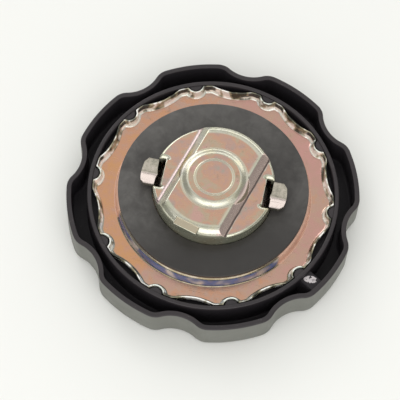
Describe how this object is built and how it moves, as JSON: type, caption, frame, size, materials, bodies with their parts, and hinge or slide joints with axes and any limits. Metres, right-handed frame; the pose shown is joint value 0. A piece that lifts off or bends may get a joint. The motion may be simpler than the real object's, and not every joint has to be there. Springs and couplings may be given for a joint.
{
  "type": "fuel filler cap",
  "caption": "Round lobed hand cap with a fluted steel plate, a flat rubber gasket and a spring-loaded bayonet lock strap in a drawn steel cup.",
  "frame": {"origin": "on the cap's axis, in the plane of the outer face that the cap lies on", "axes": "+Z from the outer face towards the filler neck; +X along the two ears of the lock strap"},
  "size_m": [0.0988, 0.0988, 0.0266],
  "materials": {
    "black_plastic": "satin moulded black plastic",
    "plated_pan": "passivated zinc plate with a copper and gold sheen",
    "plated_cup": "passivated zinc plate, pinkish gold",
    "plated_strap": "grey zinc plate, lightly worn",
    "gasket_rubber": "dull nitrile rubber, lightly stained",
    "spring_steel": "bright spring wire",
    "valve_brass": "turned brass",
    "valve_rubber": "black valve rubber"
  },
  "bodies": {
    "cap": {"cover": "black_plastic", "base_plate": "plated_pan", "gasket": "gasket_rubber", "lock_cup": "plated_cup", "lock_spring": "spring_steel", "vent_body": "valve_brass", "vent_spring": "spring_steel", "vent_retainer": "valve_brass"},
    "lock_bar": {"lock_strap": "plated_strap", "spring_seat": "plated_strap"},
    "valve": {"vent_disc": "valve_rubber"}
  },
  "joints": [
    {"name": "lock_lift", "type": "slide", "parent": "cap", "child": "lock_bar", "axis": [0, 0, 1], "range_m": [0, 0.002], "stiffness_N_per_m": 2500, "springref_m": -0.006, "deforming": ["lock_spring"]},
    {"name": "vent_lift", "type": "slide", "parent": "cap", "child": "valve", "axis": [0, 0, 1], "range_m": [0, 0.0008], "stiffness_N_per_m": 30, "springref_m": -0.002, "deforming": ["vent_spring"]}
  ]
}
